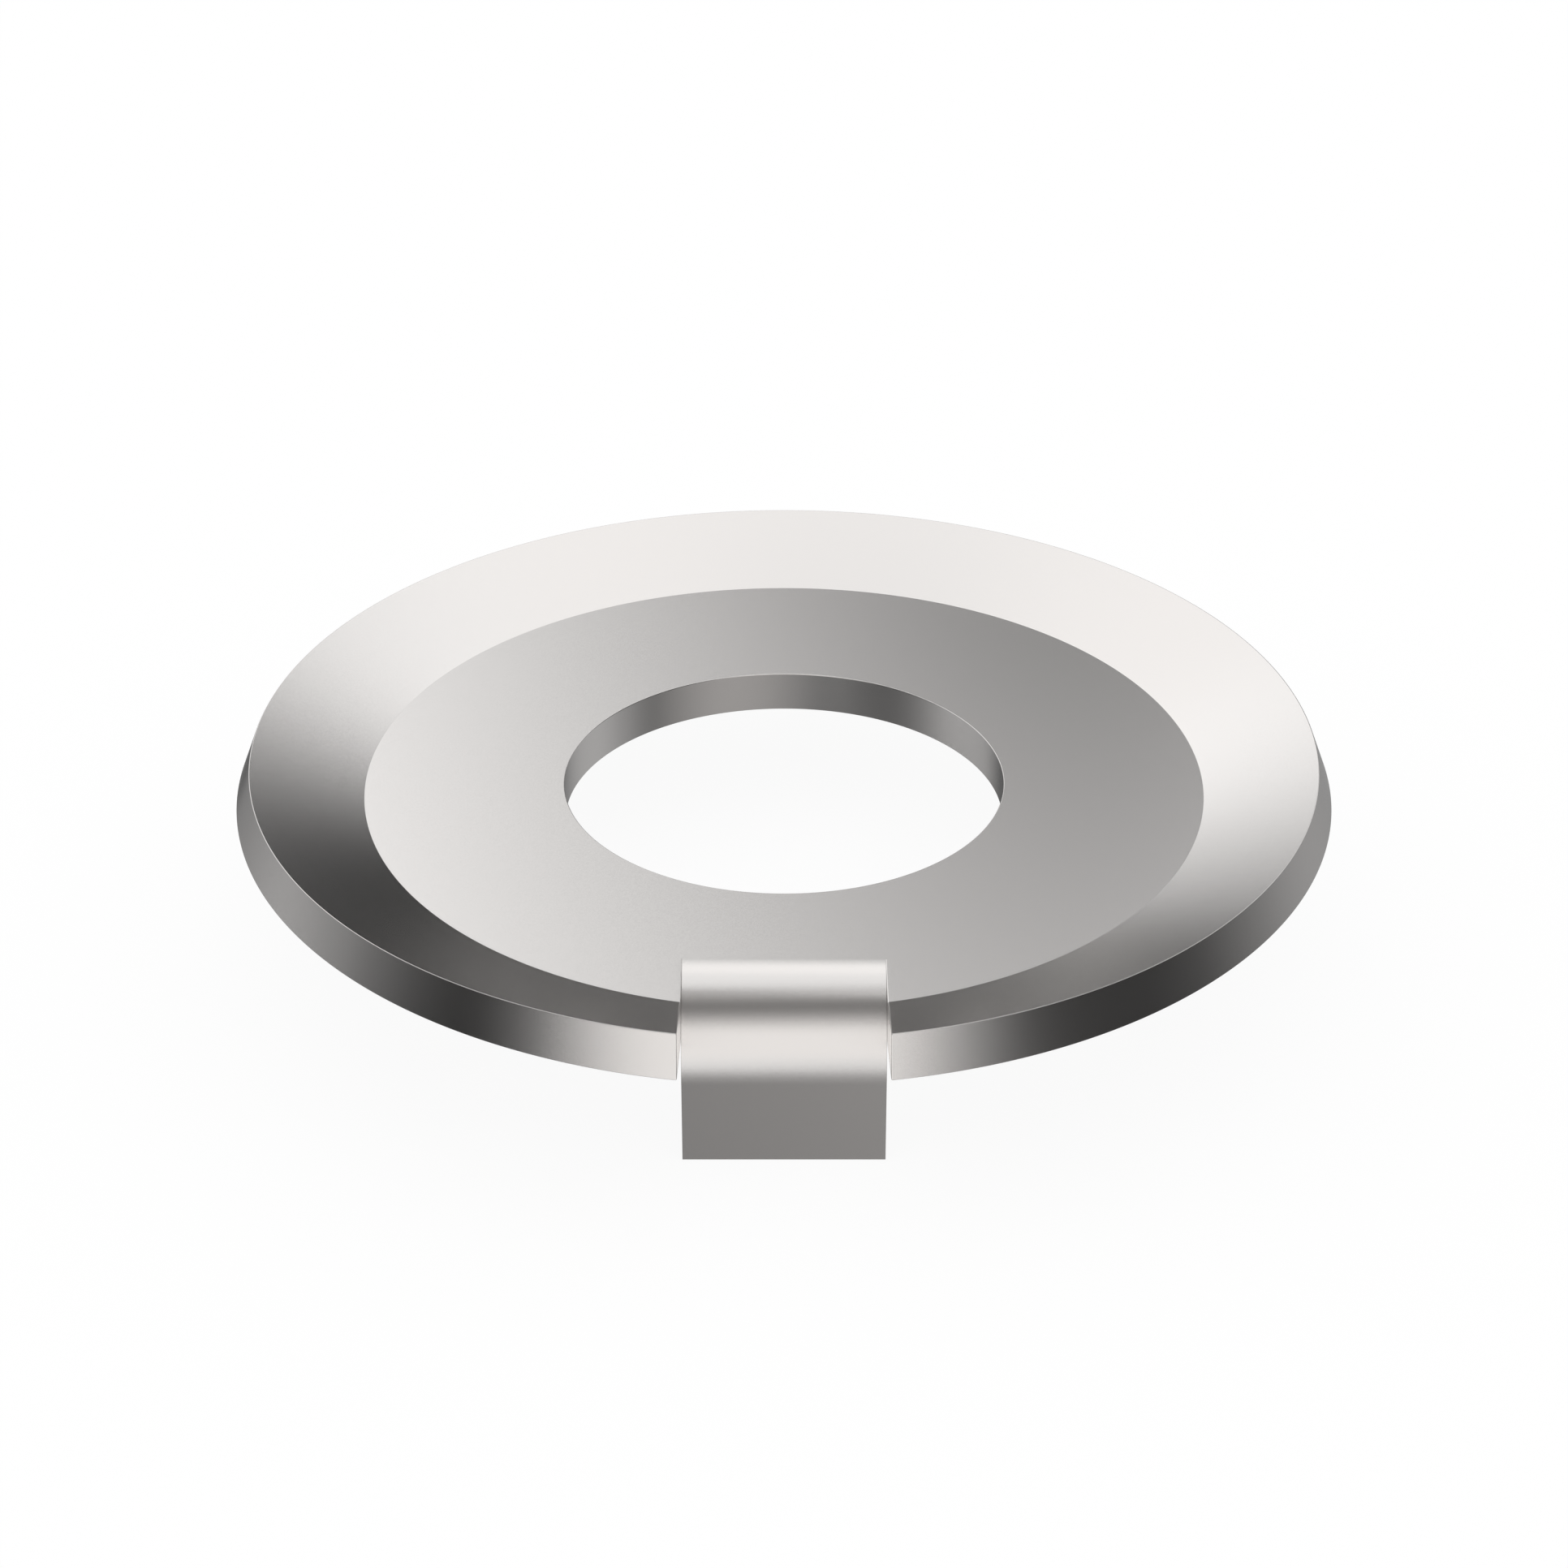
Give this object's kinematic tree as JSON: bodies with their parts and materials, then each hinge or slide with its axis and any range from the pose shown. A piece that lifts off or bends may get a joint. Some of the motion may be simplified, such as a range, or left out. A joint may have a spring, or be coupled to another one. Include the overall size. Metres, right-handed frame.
{
  "type": "tab lock washer",
  "caption": "Dished steel washer with a flat seat around its bore and a locating tab bent down at a right angle out of its rim.",
  "frame": {"origin": "centre of the bore, on the underside of the flat ring", "axes": "+Z along the bore's axis, towards the nut side that the rim is dished to; the tab is on the -Y side and points to -Z; +X runs across the tab"},
  "size_m": [0.026, 0.0258, 0.005],
  "materials": {
    "steel": "satin"
  },
  "bodies": {
    "root": {"tab_washer": "steel"}
  },
  "joints": []
}
